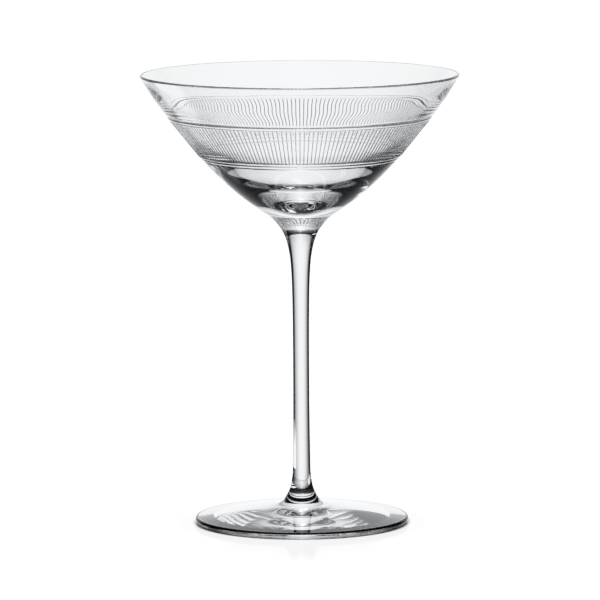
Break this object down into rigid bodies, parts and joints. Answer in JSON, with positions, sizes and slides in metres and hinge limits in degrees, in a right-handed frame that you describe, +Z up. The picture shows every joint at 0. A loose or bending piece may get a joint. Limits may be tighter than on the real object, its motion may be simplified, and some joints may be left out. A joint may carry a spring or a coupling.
{
  "type": "martini glass",
  "caption": "Stemmed cocktail glass with a wide conical bowl, a cut band of fine upright flutes between turned lines, a slender stem and a round foot.",
  "frame": {"origin": "centre of the foot, on the surface that the glass stands on", "axes": "+Z up along the stem to the rim; the glass is round, so +X and +Y are any two level directions"},
  "size_m": [0.12, 0.12, 0.1703],
  "materials": {
    "clear_glass": "polished clear, with fine cut flutes between turned lines on the bowl"
  },
  "bodies": {
    "root": {"bowl": "clear_glass", "stem": "clear_glass", "foot": "clear_glass"}
  },
  "joints": []
}
